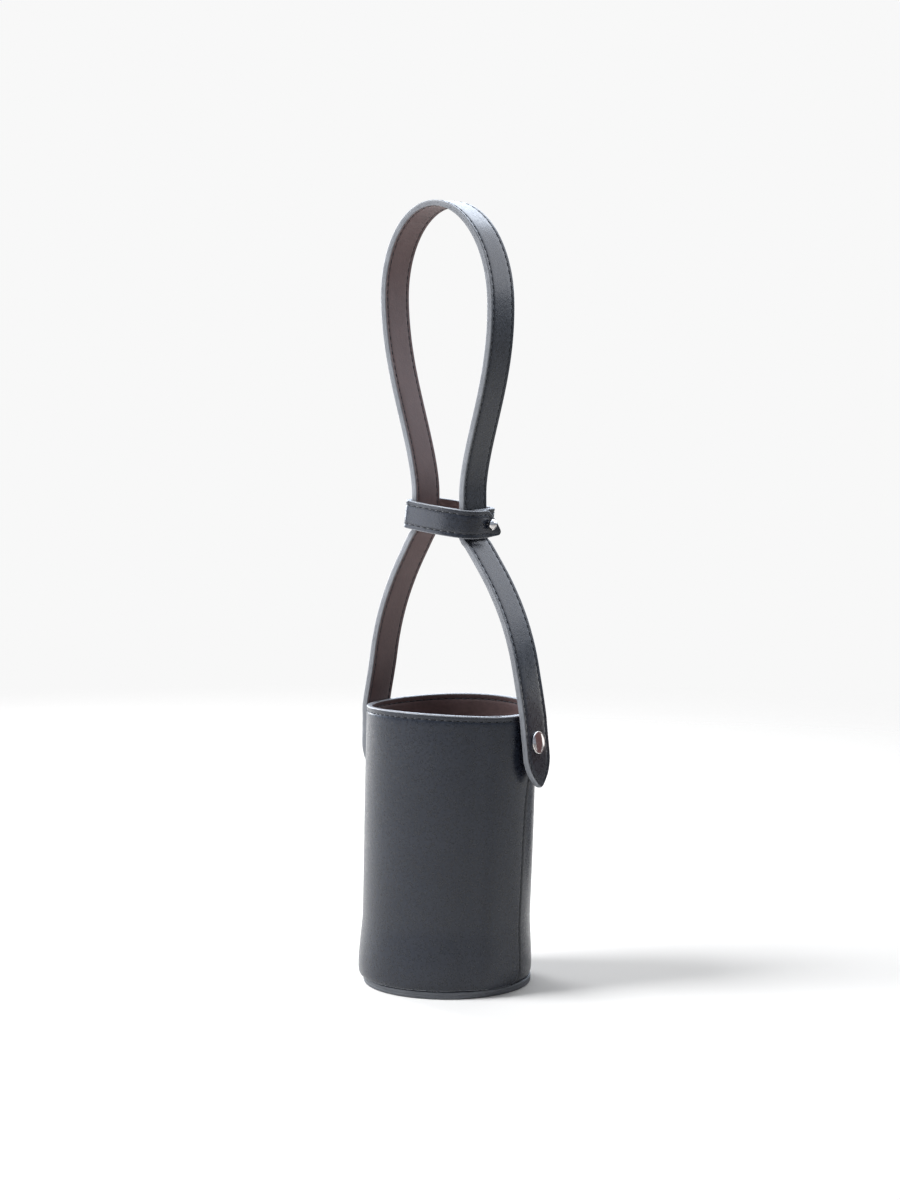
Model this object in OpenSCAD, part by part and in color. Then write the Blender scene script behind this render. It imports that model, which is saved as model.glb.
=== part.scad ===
// Leather bottle carrier. A lined leather sleeve stands on a thick leather base.
// A strap handle is riveted to its two sides, drawn in at the neck and held by a buttoned collar.
// Z is up and the base stands on z = 0. X runs from the left rivet to the right one, the front is -Y.

/* [Sleeve] */
// Height of the rim above the ground, at its two sides
sleeve_height = 150; // [120:1:180]
// Outside of the oval mouth, from rivet to rivet
mouth_length = 94.4; // [88:0.5:102]
// Outside of the oval mouth, from front to back
mouth_depth = 87; // [82:0.5:96]
// Outside of the round sleeve at its foot
foot_diameter = 90.6; // [86:0.2:98]
// How far the wall swells out just above the base
foot_swell = 1.7; // [0:0.1:3]
// Height over which that swelling dies away
foot_swell_height = 31; // [20:1:45]
// How far the mouth leans towards the right rivet
mouth_shift = 3.3; // [-6:0.1:6]
// How far the foot of the wall sits from the middle of the base
foot_shift = -1.5; // [-2:0.1:2]
// How much lower the rim is at the right rivet than at the left one
rim_drop = 0.5; // [0:0.1:5]
// How much higher the rim is in front and behind than at its two sides
rim_rise = 2; // [0:0.1:4]
// Thickness of the outer leather of the sleeve
sleeve_leather = 1.6; // [1:0.1:2.4]
// Thickness of the lining of the sleeve
sleeve_lining_thickness = 1.3; // [0.8:0.1:2]
// Angle of the lapped edge at the foot, from the front towards the right rivet
seam_foot_angle = 90.5; // [86:0.5:100]
// Angle of the lapped edge at the rim
seam_rim_angle = 104; // [98:1:116]
// Radius of the rounded lower corner of the lapped end
seam_corner = 4; // [2:0.5:8]
// Angle at which the hidden under end stops
under_end_angle = 66; // [60:1:72]

/* [Base] */
// How far the outsole stands out past the foot of the wall
outsole_margin = 0.2; // [0:0.1:2]
// Thickness of the outsole
outsole_thickness = 4; // [2.5:0.1:6]
// Bevel of the outsole's two edges
outsole_bevel = 0.5; // [0.2:0.1:1]
// Thickness of the insole that fills the foot of the sleeve
insole_thickness = 3.2; // [2:0.1:5]
// Dark groove between the outsole and the wall
base_groove = 0.3; // [0.1:0.05:0.8]

/* [Handle] */
// Height of the top of the loop above the ground
handle_height = 420; // [370:1:460]
// Width of the strap
strap_width = 23; // [18:0.5:28]
// Thickness of the strap's outer leather
strap_leather = 1.6; // [1:0.1:2.4]
// Thickness of the strap's lining
strap_lining = 1.4; // [0.8:0.1:2]
// Outside width of the hand loop
loop_width = 70; // [60:1:90]
// Diameter of the bottle neck that the straps close round
neck_diameter = 27; // [25:0.5:32]
// Length of the tapered tongue at each end of the strap
strap_tongue_length = 17; // [14:0.5:22]
// Distance from the rivet to the tip of that tongue
strap_tip_reach = 24; // [20:0.5:30]
// Angle at which the right strap slants outwards, going down past its rivet
right_strap_slant = 6.3; // [0:0.1:8]
// The same angle of the left strap
left_strap_slant = 1.5; // [0:0.1:8]
// How far the top of the loop leans from the middle of the base
loop_top_shift = -1.5; // [-6:0.1:6]

/* [Rivets] */
// How far the two rivets lie below the rim
rivet_drop = 15; // [12:1:30]
// Diameter of the domed cap
rivet_cap_diameter = 12; // [9:0.5:14]
// Height of the cap's straight edge
rivet_cap_edge = 0.8; // [0.5:0.1:1.5]
// Height of the cap's dome
rivet_dome = 1.7; // [1:0.1:2.5]
// Diameter of the post that the strap turns on
rivet_post_diameter = 4; // [3:0.1:5]
// Diameter of the flat flange inside the sleeve
rivet_flange_diameter = 10; // [8:0.5:12]
// Thickness of that flange
rivet_flange_thickness = 0.8; // [0.5:0.1:1.2]
// Height below the right rivet over which it draws the wall out to the strap
rivet_pull_height = 32; // [20:1:50]

/* [Collar] */
// Height of the middle of the collar above the ground
collar_height = 252; // [230:1:270]
// Width of the collar
collar_width = 15; // [12:0.5:18]
// Thickness of the collar's outer leather
collar_leather = 1.2; // [1:0.1:1.8]
// Thickness of the collar's lining
collar_lining_thickness = 1.1; // [1.1:0.1:1.6]
// How far the collar bows out past the straps' edges, in front and behind
collar_bow = 3.85; // [3.5:0.05:6]
// Angle that the collar dips towards the button
collar_tilt = 7; // [0:0.5:9]
// How far the collar's middle sits from the middle of the base
collar_shift = 1.6; // [-3:0.1:4]
// Distance from the collar's middle to the tip of the buttoned end
button_end_reach = 12; // [9:0.5:14]
// How far the tip of the buttoned end stands off
button_end_lift = 3; // [0:0.1:4]

/* [Stud] */
// Diameter of the stud's ball head
stud_head_diameter = 6; // [5:0.2:7]
// Diameter of the stud's neck
stud_neck_diameter = 3.4; // [2.8:0.1:4]
// Diameter of the stud's foot
stud_foot_diameter = 7.6; // [6.5:0.1:9]
// Thickness of the stud's foot
stud_foot_thickness = 0.7; // [0.5:0.1:1]
// Distance of the stud behind the collar's middle
stud_offset = 3; // [1:0.5:4]
// Diameter of the screw that holds the stud
stud_screw_diameter = 2; // [1.6:0.1:2.2]
// Diameter of that screw's flat head
stud_screw_head_diameter = 6.4; // [5:0.1:7]
// Thickness of that screw's flat head
stud_screw_head_thickness = 0.8; // [0.6:0.1:0.9]
// Length of the slit beside the button hole
slit_length = 9; // [6:0.5:10]
// Width of that slit
slit_width = 0.5; // [0.3:0.1:0.8]

/* [Clearances] */
// Layer of glue between two layers of leather
glue_line = 0.05; // [0.02:0.01:0.1]
// Thicker layer of glue under the lapped end of the sleeve
lap_glue = 0.15; // [0.12:0.01:0.2]
// Play between pieces that move past each other
moving_gap = 0.3; // [0.2:0.05:0.5]
// Play of a post or a screw in its hole, on the radius
pin_play = 0.05; // [0.03:0.01:0.08]

/* [Hidden] */

// Colours of the finishes
black_leather = "#34383d";
brown_lining = "#5e4e50";
edge_grey = "#55585c";
nickel = "#d5d5d8";

// Round pieces
$fn = 72;
// Extra length that lets a cut run clean through
overrun = 1;

// Rows of the wall, as shares of its height, close together where the foot swells and round the rivets
wall_row_shares = [0, 0.008, 0.022, 0.045, 0.08, 0.13, 0.21, 0.4, 0.58, 0.7, 0.78, 0.84, 0.9, 0.95, 1];
// Where the swelling is fullest: a smaller share puts it nearer the base
swell_skew_share = 0.42;
// Power that keeps the lapped edge upright until it nears the rim
seam_power = 5;
// How much of the strap's distance the wall makes up at the right rivet, and how wide it is drawn out
rivet_pull_share = 0.75;
rivet_pull_spread_share = 0.05;
// Columns of the outer leather and of the lining
panel_columns = 76;
lining_columns = 68;
// Angle over which the lapped end climbs onto the under end
lap_climb_angle = 17;
// Angle by which the climb ends before the under end begins
lap_margin_angle = 4;
// Open angle of the lining's butt joint
lining_joint_angle = 0.5;

// Leg of the handle from above the rim up to the waist: height share, then width share
leg_shares = [[0.3, 0.88], [0.46, 0.787], [0.62, 0.64], [0.77, 0.435], [0.9, 0.205], [0.97, 0.07], [1, 0]];
// Ends of the straight waist, as shares of the collar's width below and above its middle
waist_low_share = 0.54;
waist_high_share = 0.9;
// Height of the widest point of the loop, as a share of the way from the waist to the top
loop_widest_share = 0.667;
// Bend of the lean above the collar, and of the throat between the waist and the loop
lean_power = 2.5;
throat_power = 0.82;
// Steps of each stretch of the handle's path
leg_steps = 36;
throat_steps = 14;
crown_steps = 14;
// Power of the taper of the strap's tongue, and its steps
taper_power = 1.9;
taper_steps = 10;
// Blunt width of the tip, as a share of the strap's width
tip_blunt_share = 0.1;

// A quarter of the collar's plan: share of its side, of half the strap's width, and of its bow
corner_shares = [[1, 0.62, 0], [1, 1, 0], [0.885, 1, 0.48], [0.45, 1, 0.88], [0, 1, 0.97]];
// Start of the under end of the collar, as a share of half the strap's width
collar_under_share = 0.62;
// Way that the front corner has moved out to the button's level
corner_climb_share = 0.34;
// Share of the lift of the buttoned end's tip that is reached halfway to it
lift_start_share = 0.12;
// Outline of the buttoned end: share of its reach, then share of the collar's width
button_end_shares = [
    [0, 0.5], [0.16, 0.45], [0.37, 0.33], [0.57, 0.22], [0.75, 0.07], [0.9, -0.1],
    [1, -0.28], [0.98, -0.35], [0.9, -0.41], [0.57, -0.465], [0.16, -0.5]
];
// Steps along the collar's band and along its buttoned end
band_steps = 64;
button_end_steps = 16;

// Sizes that follow from the ones above
wall_foot = outsole_thickness + base_groove;
wall_height = sleeve_height - wall_foot;
wall_layers = sleeve_leather + glue_line + sleeve_lining_thickness;
lap_rise = sleeve_leather + lap_glue;
lining_depth = sleeve_leather + glue_line;
strap_layers = strap_leather + glue_line + strap_lining;
collar_layers = collar_leather + glue_line + collar_lining_thickness;

function mix(a, b, t) = a + (b - a) * t;
function unit(t) = min(1, max(0, t));
function ease(t) = (1 - cos(180 * unit(t))) / 2;

// Share of a height up the wall
function wall_share(z) = (z - wall_foot) / wall_height;
function wall_swell(u) = foot_swell * sin(180 * pow(unit(u * wall_height / foot_swell_height), swell_skew_share));
function wall_half_length(u) = mix(foot_diameter, mouth_length, u) / 2 + wall_swell(u);
function wall_half_depth(u) = mix(foot_diameter, mouth_depth, u) / 2 + wall_swell(u);
function wall_shift(u) = mix(foot_shift, mouth_shift, u);

// The right rivet draws the wall out to its strap, less and less from the rivet up to the rim and down
function rivet_pull(angle, u) = let(rise = wall_foot + u * wall_height - rivet_height)
    right_pull * exp((sin(angle) - 1) / rivet_pull_spread_share)
    * (rise > 0 ? unit(1 - rise / rivet_drop) : ease(1 + rise / rivet_pull_height));

// Point of the wall at an angle from the front, a share up and a distance outside the outer leather
function wall_point(angle, u, out) = [
    wall_shift(u) + (wall_half_length(u) + out) * sin(angle) + rivet_pull(angle, u),
    -(wall_half_depth(u) + out) * cos(angle),
    wall_foot + u * (wall_height - rim_drop / 2 * sin(angle) + rim_rise * pow(cos(angle), 2))
];

// The lapped end lies one leather higher than the under end that it covers
lap_full_angle = under_end_angle - lap_margin_angle;
function lap_lift(angle) = lap_rise * ease((angle - lap_full_angle + lap_climb_angle) / lap_climb_angle);
function seam_round(u) = 1 - sqrt(1 - pow(1 - unit(u * wall_height / seam_corner), 2));
function seam_angle(u) = mix(seam_foot_angle, seam_rim_angle, pow(u, seam_power))
    - seam_round(u) * atan(seam_corner / (foot_diameter / 2));
function panel_angle(c, u) = mix(seam_angle(u), under_end_angle - 360, c / panel_columns);
function lining_angle(c) = mix(lap_full_angle, lap_full_angle - 360 + lining_joint_angle, c / lining_columns);

// Rivets: the wall's outer faces at their height, and how far each leans out for each unit up
rivet_height = sleeve_height - rivet_drop;
rivet_share = wall_share(rivet_height);
right_wall_x = wall_shift(rivet_share) + wall_half_length(rivet_share) + lap_rise;
left_wall_x = wall_shift(rivet_share) - wall_half_length(rivet_share);
right_rake = ((mouth_length - foot_diameter) / 2 + mouth_shift - foot_shift) / wall_height;
left_rake = ((mouth_length - foot_diameter) / 2 - mouth_shift + foot_shift) / wall_height;

// A strap stands off its wall just enough to pass the rim and to swing past the wall
function stand_off(rake, slant) = let(lean = rake + tan(slant)) moving_gap
    + max(lean * rivet_drop, -lean * strap_tip_reach, abs(rake) * strap_width / 2);
right_strap_x = right_wall_x + stand_off(right_rake, right_strap_slant);
left_strap_x = left_wall_x - stand_off(left_rake, left_strap_slant);
right_pull = rivet_pull_share * (stand_off(right_rake, right_strap_slant) - moving_gap);

// Handle: the middle of the strap's thickness
neck_half = (neck_diameter + strap_layers) / 2;
loop_half = (loop_width - strap_layers) / 2;
strap_tip_height = rivet_height - strap_tip_reach;
waist_high = collar_height + collar_width * waist_high_share;
crown_top = handle_height - strap_layers / 2;
loop_widest = mix(waist_high, crown_top, loop_widest_share);

// Collar's inner face at its two sides, seen in its own tilted frame
collar_side = (neck_half + strap_layers / 2 + moving_gap + collar_width / 2 * sin(collar_tilt)) / cos(collar_tilt);

// The waist begins just below the tilted collar, so it begins higher on the left
function waist_low(side) = collar_height - collar_width * waist_low_share - side * collar_side * sin(collar_tilt);

// Middle of the two legs at a height above the collar
function lean(z) = mix(
    collar_shift, loop_top_shift, pow(unit((z - collar_height) / (handle_height - collar_height)), lean_power)
);

// A smooth curve through points, at a parameter that counts them
function knot(points, i) = points[min(len(points) - 1, max(0, i))];
function curve_piece(p, q, r, s, t) = q + (r - p) * t / 2
    + (2 * p - 5 * q + 4 * r - s) * pow(t, 2) / 2
    + (3 * q - p - 3 * r + s) * pow(t, 3) / 2;
function curve_at(points, t) = let(i = min(len(points) - 2, floor(t)))
    curve_piece(knot(points, i - 1), knot(points, i), knot(points, i + 1), knot(points, i + 2), t - i);

// One leg, from the tip of its tongue past the rivet and the rim to the waist
function leg_knots(side, rivet_x, slant) = let(neck_x = collar_shift + side * neck_half) concat(
    [for (h = [-strap_tip_reach, 0, rivet_drop / 2, rivet_drop]) [rivet_x - side * tan(slant) * h, rivet_height + h]],
    [for (s = leg_shares) [mix(neck_x, rivet_x, s[1]), mix(rivet_height, waist_low(side), s[0])]],
    [[neck_x, collar_height], [neck_x, waist_high]]
);
function leg_path(knots) = [for (k = [0 : leg_steps]) curve_at(knots, k * (len(knots) - 1) / leg_steps)];
right_leg = leg_path(leg_knots(1, right_strap_x + strap_layers / 2, right_strap_slant));
left_leg = leg_path(leg_knots(-1, left_strap_x - strap_layers / 2, left_strap_slant));

// Half of the loop, as half width and height
throat_path = [for (k = [1 : throat_steps]) let(t = k / throat_steps)
    [mix(neck_half, loop_half, ease(pow(t, throat_power))), mix(waist_high, loop_widest, t)]];
crown_path = [for (k = [1 : crown_steps]) let(a = 90 * k / crown_steps)
    [loop_half * cos(a), loop_widest + (crown_top - loop_widest) * sin(a)]];
half_loop = concat(throat_path, crown_path);
last_half = len(half_loop) - 1;
handle_path = concat(
    right_leg,
    [for (p = half_loop) [lean(p[1]) + p[0], p[1]]],
    [for (k = [1 : last_half]) let(p = half_loop[last_half - k]) [lean(p[1]) - p[0], p[1]]],
    [for (k = [0 : leg_steps]) left_leg[leg_steps - k]]
);

// Collar, seen from above in its own tilted plane: the inner face of its lining
strap_half = strap_width / 2;
button_level = collar_side + collar_layers + stud_foot_thickness + moving_gap;
corner = [for (c = corner_shares) [collar_side * c[0], strap_half * c[1] + collar_bow * c[2]]];
collar_knots = concat(
    [[collar_side, -strap_half * collar_under_share], [collar_side, 0]],
    corner,
    [for (i = [3 : -1 : 0]) [-corner[i].x, corner[i].y]],
    [[-collar_side, 0]],
    [for (i = [0 : 4]) [-corner[i].x, -corner[i].y]],
    [for (i = [3 : -1 : 2]) [corner[i].x, -corner[i].y]],
    [[mix(corner[1].x, button_level, corner_climb_share), -corner[1].y]],
    [[button_level, -corner[0].y], [button_level, 0]],
    [[button_level + button_end_lift * lift_start_share, button_end_reach / 2]],
    [[button_level + button_end_lift, button_end_reach]]
);
last_knot = len(collar_knots) - 1;
hinge_knot = last_knot - 5;
hinge_step = moving_gap / 2 / norm(collar_knots[hinge_knot + 1] - collar_knots[hinge_knot]);
band_path = [for (k = [0 : band_steps]) curve_at(collar_knots, (hinge_knot - hinge_step) * k / band_steps)];
button_end_path = [for (k = [0 : button_end_steps])
    curve_at(collar_knots, mix(hinge_knot + hinge_step, last_knot, k / button_end_steps))];

// Outward normal of a path that runs anticlockwise
function along(path, i) = let(d = knot(path, i + 1) - knot(path, i - 1)) d / norm(d);
function beside(path, i, out) = let(d = along(path, i)) path[i] + [d.y, -d.x] * out;

// Flat ribbon between two distances outside a path
module ribbon(path, near, far) {
    last = len(path) - 1;
    polygon(concat(
        [for (i = [0 : last]) beside(path, i, far)],
        [for (i = [0 : last]) beside(path, last - i, near)]
    ));
}

// Two triangles for four corners
function two_triangles(q) = [[q[0], q[1], q[2]], [q[0], q[2], q[3]]];

// Closed sheet between an outer and an inner grid of points
module sheet(outer, inner) {
    rows = len(outer);
    cols = len(outer[0]);
    side = rows * cols;
    points = concat([for (r = outer, p = r) p], [for (r = inner, p = r) p]);
    cells = concat(
        [for (r = [0 : rows - 2], c = [0 : cols - 2]) let(a = r * cols + c) [a, a + 1, a + cols + 1, a + cols]],
        [for (r = [0 : rows - 2], c = [0 : cols - 2]) let(a = side + r * cols + c)
            [a, a + cols, a + cols + 1, a + 1]],
        [for (c = [0 : cols - 2]) [c + 1, c, side + c, side + c + 1]],
        [for (c = [0 : cols - 2]) let(a = (rows - 1) * cols + c) [a, a + 1, side + a + 1, side + a]],
        [for (r = [0 : rows - 2]) let(a = r * cols) [a, a + cols, side + a + cols, side + a]],
        [for (r = [0 : rows - 2]) let(a = r * cols + cols - 1) [a + cols, a, side + a, side + a + cols]]
    );
    polyhedron(points, [for (q = cells, t = two_triangles(q)) t]);
}

// A hole along X at the rivets' height, through everything
module rivet_hole(radius) {
    translate([0, 0, rivet_height])
        rotate([0, 90, 0])
            cylinder(r = radius, h = 2 * (mouth_length + strap_layers), center = true);
}

// One leather wraps the sleeve. Its front end laps over its back end along a slanting edge.
module sleeve_panel() {
    color(black_leather)
        difference() {
            sheet(
                [for (u = wall_row_shares) [for (c = [0 : panel_columns])
                    let(a = panel_angle(c, u)) wall_point(a, u, lap_lift(a))]],
                [for (u = wall_row_shares) [for (c = [0 : panel_columns])
                    let(a = panel_angle(c, u)) wall_point(a, u, lap_lift(a) - sleeve_leather)]]
            );
            rivet_hole(rivet_post_diameter / 2 + pin_play);
        }
}

// Lining of the sleeve, with a butt joint behind the lap
module sleeve_lining() {
    color(brown_lining)
        difference() {
            sheet(
                [for (u = wall_row_shares) [for (c = [0 : lining_columns])
                    wall_point(lining_angle(c), u, -lining_depth)]],
                [for (u = wall_row_shares) [for (c = [0 : lining_columns])
                    wall_point(lining_angle(c), u, -wall_layers)]]
            );
            rivet_hole(rivet_post_diameter / 2 + pin_play);
        }
}

// Thick outsole, the disc whose painted edge shows all round
module base_outsole() {
    radius = foot_diameter / 2 + outsole_margin;
    color(edge_grey)
        rotate_extrude()
            polygon([
                [0, 0],
                [radius - outsole_bevel, 0],
                [radius, outsole_bevel],
                [radius, outsole_thickness - outsole_bevel],
                [radius - outsole_bevel, outsole_thickness],
                [0, outsole_thickness]
            ]);
}

// Insole, a disc on the outsole that fills the foot of the sleeve
module base_insole() {
    radius = foot_diameter / 2 - wall_layers - glue_line;
    color(brown_lining)
        translate([foot_shift, 0, outsole_thickness])
            cylinder(r = radius, h = insole_thickness);
}

// Outline of the strap seen from the side: full width, with a tapered tongue at the bottom
module strap_outline() {
    taper = [for (k = [0 : taper_steps]) let(t = k / taper_steps)
        [
            mix(tip_blunt_share, 1, 1 - pow(1 - t, taper_power)) * strap_half,
            strap_tip_height + strap_tongue_length * t
        ]];
    top = handle_height + overrun;
    polygon(concat(
        taper,
        [[strap_half, top], [-strap_half, top]],
        [for (k = [taper_steps : -1 : 0]) [-taper[k][0], taper[k][1]]]
    ));
}

// One layer of the handle, between two distances outside the middle of the strap
module handle_layer(near, far) {
    difference() {
        intersection() {
            rotate([90, 0, 0])
                linear_extrude(height = strap_width + overrun, center = true)
                    ribbon(handle_path, near, far);
            rotate([90, 0, 90])
                linear_extrude(height = 2 * (mouth_length + loop_width), center = true)
                    strap_outline();
        }
        rivet_hole(rivet_post_diameter / 2 + pin_play);
    }
}

// Outer leather of the handle, one strip from tongue to tongue
module handle_outer() {
    color(black_leather)
        handle_layer(strap_layers / 2 - strap_leather, strap_layers / 2);
}

// Lining of the handle
module handle_lining() {
    color(brown_lining)
        handle_layer(-strap_layers / 2, strap_layers / 2 - strap_leather - glue_line);
}

// Domed cap, seen from its seat, with X pointing away from the sleeve
module rivet_cap() {
    radius = rivet_cap_diameter / 2;
    ball = (pow(radius, 2) + pow(rivet_dome, 2)) / (2 * rivet_dome);
    color(nickel)
        rotate([0, 90, 0])
            union() {
                cylinder(r = radius, h = rivet_cap_edge);
                intersection() {
                    translate([0, 0, rivet_cap_edge + rivet_dome - ball])
                        sphere(r = ball);
                    cylinder(r = radius, h = rivet_cap_edge + rivet_dome);
                }
            }
}

// Post with the flat flange that bears on the lining, from its flange along X
module rivet_post(length) {
    color(nickel)
        rotate([0, 90, 0]) {
            cylinder(r = flange_radius, h = rivet_flange_thickness);
            cylinder(r = rivet_post_diameter / 2, h = length);
        }
}

// The flat flange bridges the hollow of the curved lining, so it sits at the innermost point under its edge
flange_radius = rivet_flange_diameter / 2;
flange_angle = asin(flange_radius / (mouth_depth / 2 - wall_layers));
function flange_spots(side) = [for (a = [-1 : 1], b = [-1 : 1]) abs(wall_point(
    side * 90 + a * flange_angle, wall_share(rivet_height + b * flange_radius), -wall_layers).x)];
right_flange_x = min(flange_spots(1)) - moving_gap / 2 - rivet_flange_thickness;
left_flange_x = -min(flange_spots(-1)) + moving_gap / 2 + rivet_flange_thickness;
right_cap_x = right_strap_x + strap_layers / cos(right_strap_slant) + glue_line;
left_cap_x = left_strap_x - strap_layers / cos(left_strap_slant) - glue_line;

module right_rivet_cap() {
    translate([right_cap_x, 0, rivet_height])
        rotate([0, -right_strap_slant, 0])
            rivet_cap();
}

module right_rivet_post() {
    translate([right_flange_x, 0, rivet_height])
        rivet_post(right_cap_x - right_flange_x - rivet_post_diameter / 2 * tan(right_strap_slant));
}

module left_rivet_cap() {
    translate([left_cap_x, 0, rivet_height])
        rotate([0, -left_strap_slant, 180])
            rivet_cap();
}

module left_rivet_post() {
    translate([left_flange_x, 0, rivet_height])
        rotate([0, 0, 180])
            rivet_post(left_flange_x - left_cap_x - rivet_post_diameter / 2 * tan(left_strap_slant));
}

// The collar's own frame, tilted down towards the button
module in_collar() {
    translate([collar_shift, 0, collar_height])
        rotate([0, collar_tilt, 0])
            children();
}

// A round hole or piece along X in the collar's frame, from one distance to another
module stud_round(radius, from, to) {
    translate([from, stud_offset, 0])
        rotate([0, 90, 0])
            cylinder(r = radius, h = to - from);
}

module collar_strip(path, near, far) {
    linear_extrude(height = collar_width, center = true)
        ribbon(path, near, far);
}

stud_seat_x = collar_side + collar_layers;
stud_hole = stud_screw_diameter / 2 + pin_play;

// Outer leather of the collar, from its under end round the straps to the front corner
module collar_band() {
    color(black_leather)
        in_collar()
            difference() {
                collar_strip(band_path, collar_lining_thickness + glue_line, collar_layers);
                stud_round(stud_hole, 0, stud_seat_x + overrun);
            }
}

// Lining of the collar, sunk for the head of the stud's screw
module collar_band_lining() {
    color(brown_lining)
        in_collar()
            difference() {
                collar_strip(band_path, 0, collar_lining_thickness);
                stud_round(stud_hole, 0, stud_seat_x + overrun);
                stud_round(
                    stud_screw_head_diameter / 2 + pin_play,
                    0,
                    collar_side + stud_screw_head_thickness + glue_line
                );
            }
}

// Pointed outline of the buttoned end, seen from the side
module button_end_outline() {
    polygon(concat(
        [[-2 * strap_width, collar_width / 2]],
        [for (s = button_end_shares) [s[0] * button_end_reach, s[1] * collar_width]],
        [[-2 * strap_width, -collar_width / 2]]
    ));
}

// The hole that buttons over the stud, and the slit that lets it open
module button_hole() {
    stud_round(stud_neck_diameter / 2 + 2 * pin_play, 0, 2 * button_level);
    translate([0, stud_offset - slit_length, -slit_width / 2])
        cube([2 * button_level, slit_length, slit_width]);
}

module button_end_layer(near, far) {
    in_collar()
        difference() {
            intersection() {
                collar_strip(button_end_path, near, far);
                rotate([90, 0, 90])
                    linear_extrude(height = 2 * button_level + overrun)
                        button_end_outline();
            }
            button_hole();
        }
}

// Outer leather of the collar's buttoned end, which bends at the front corner
module collar_button_end() {
    color(black_leather)
        button_end_layer(collar_lining_thickness + glue_line, collar_layers);
}

// Lining of the collar's buttoned end
module collar_button_end_lining() {
    color(brown_lining)
        button_end_layer(0, collar_lining_thickness);
}

// Button stud: a flat foot, a neck through the hole and a ball head with a flattened underside
module stud_body() {
    head_radius = stud_head_diameter / 2;
    neck_length = moving_gap * 2 + collar_layers;
    head_drop = sqrt(pow(head_radius, 2) - pow(stud_neck_diameter / 2, 2));
    foot_top = stud_seat_x + glue_line + stud_foot_thickness;
    head_centre = foot_top + neck_length + head_drop;
    color(nickel)
        in_collar()
            difference() {
                union() {
                    stud_round(stud_foot_diameter / 2, stud_seat_x + glue_line, foot_top);
                    stud_round(stud_neck_diameter / 2, stud_seat_x + glue_line, head_centre);
                    translate([head_centre, stud_offset, 0])
                        sphere(r = head_radius);
                }
                stud_round(stud_hole, stud_seat_x, foot_top + neck_length);
            }
}

// Flat-headed screw that holds the stud from behind
module stud_screw() {
    color(nickel)
        in_collar() {
            stud_round(stud_screw_head_diameter / 2, collar_side, collar_side + stud_screw_head_thickness);
            stud_round(stud_screw_diameter / 2, collar_side, stud_seat_x + stud_foot_thickness + collar_layers);
        }
}

sleeve_panel();
sleeve_lining();
base_outsole();
base_insole();
handle_outer();
handle_lining();
right_rivet_cap();
right_rivet_post();
left_rivet_cap();
left_rivet_post();
collar_band();
collar_band_lining();
collar_button_end();
collar_button_end_lining();
stud_body();
stud_screw();
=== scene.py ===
# Leather bottle carrier: a lined sleeve on a thick round base, one strap for a handle that is riveted
# to the sleeve's two sides, and a collar that draws the strap in and buttons on a metal stud.
# Each leather part is cut flat, edge finished and stitched in millimetres, then bent to its place.
import math
import bmesh
import bpy
import numpy as np
from mathutils import Matrix, Vector


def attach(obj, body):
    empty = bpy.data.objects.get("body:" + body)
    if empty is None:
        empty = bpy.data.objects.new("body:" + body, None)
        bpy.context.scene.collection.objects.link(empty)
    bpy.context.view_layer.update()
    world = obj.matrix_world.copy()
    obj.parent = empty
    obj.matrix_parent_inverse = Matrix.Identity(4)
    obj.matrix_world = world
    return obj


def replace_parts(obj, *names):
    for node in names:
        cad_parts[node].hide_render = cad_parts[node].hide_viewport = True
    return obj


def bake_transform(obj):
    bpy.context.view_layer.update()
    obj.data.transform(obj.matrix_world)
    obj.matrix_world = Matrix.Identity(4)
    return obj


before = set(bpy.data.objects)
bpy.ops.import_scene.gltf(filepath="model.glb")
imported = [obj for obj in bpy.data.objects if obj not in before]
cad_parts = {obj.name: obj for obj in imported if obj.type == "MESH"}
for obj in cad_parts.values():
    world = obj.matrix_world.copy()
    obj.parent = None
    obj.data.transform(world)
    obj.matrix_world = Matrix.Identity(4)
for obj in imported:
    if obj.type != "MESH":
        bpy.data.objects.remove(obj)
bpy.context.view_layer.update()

mm = 0.001


def mixed(a, b, t):
    return a + (b - a) * t


def eased(t):
    return (1 - np.cos(np.pi * np.clip(t, 0, 1))) / 2


def curveThrough(points, steps):
    # smooth curve through given points, as many steps between each two
    ends = np.array([points[0]] + list(points) + [points[-1]], float)
    p, q, r, s = ends[:-3], ends[1:-2], ends[2:-1], ends[3:]
    t = np.arange(steps)[None, :, None] / steps
    p, q, r, s = (k[:, None, :] for k in (p, q, r, s))
    curve = q + (r - p) * t / 2 + (2 * p - 5 * q + 4 * r - s) * t**2 / 2 + (3 * q - p - 3 * r + s) * t**3 / 2
    return np.vstack([curve.reshape(-1, 2), ends[-1:]])


class Route:
    # a flat route with its arc length, which gives a point beside it at any length along
    def __init__(self, points):
        self.points = points
        steps = np.linalg.norm(np.diff(points, axis=0), axis=1)
        self.along = np.concatenate([[0], np.cumsum(steps)])
        self.length = self.along[-1]
        heading = np.gradient(points, self.along, axis=0)
        heading /= np.linalg.norm(heading, axis=1)[:, None]
        self.out = np.stack([heading[:, 1], -heading[:, 0]], axis=1)

    def at(self, along, out):
        point = [np.interp(along, self.along, self.points[:, k]) for k in (0, 1)]
        side = [np.interp(along, self.along, self.out[:, k]) for k in (0, 1)]
        size = np.hypot(*side)
        return point[0] + side[0] / size * out, point[1] + side[1] / size * out


# Materials

def linearColour(hexColour):
    values = [int(hexColour[k:k + 2], 16) / 255 for k in (1, 3, 5)]
    return [v / 12.92 if v <= 0.04045 else ((v + 0.055) / 1.055) ** 2.4 for v in values] + [1]


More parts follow.
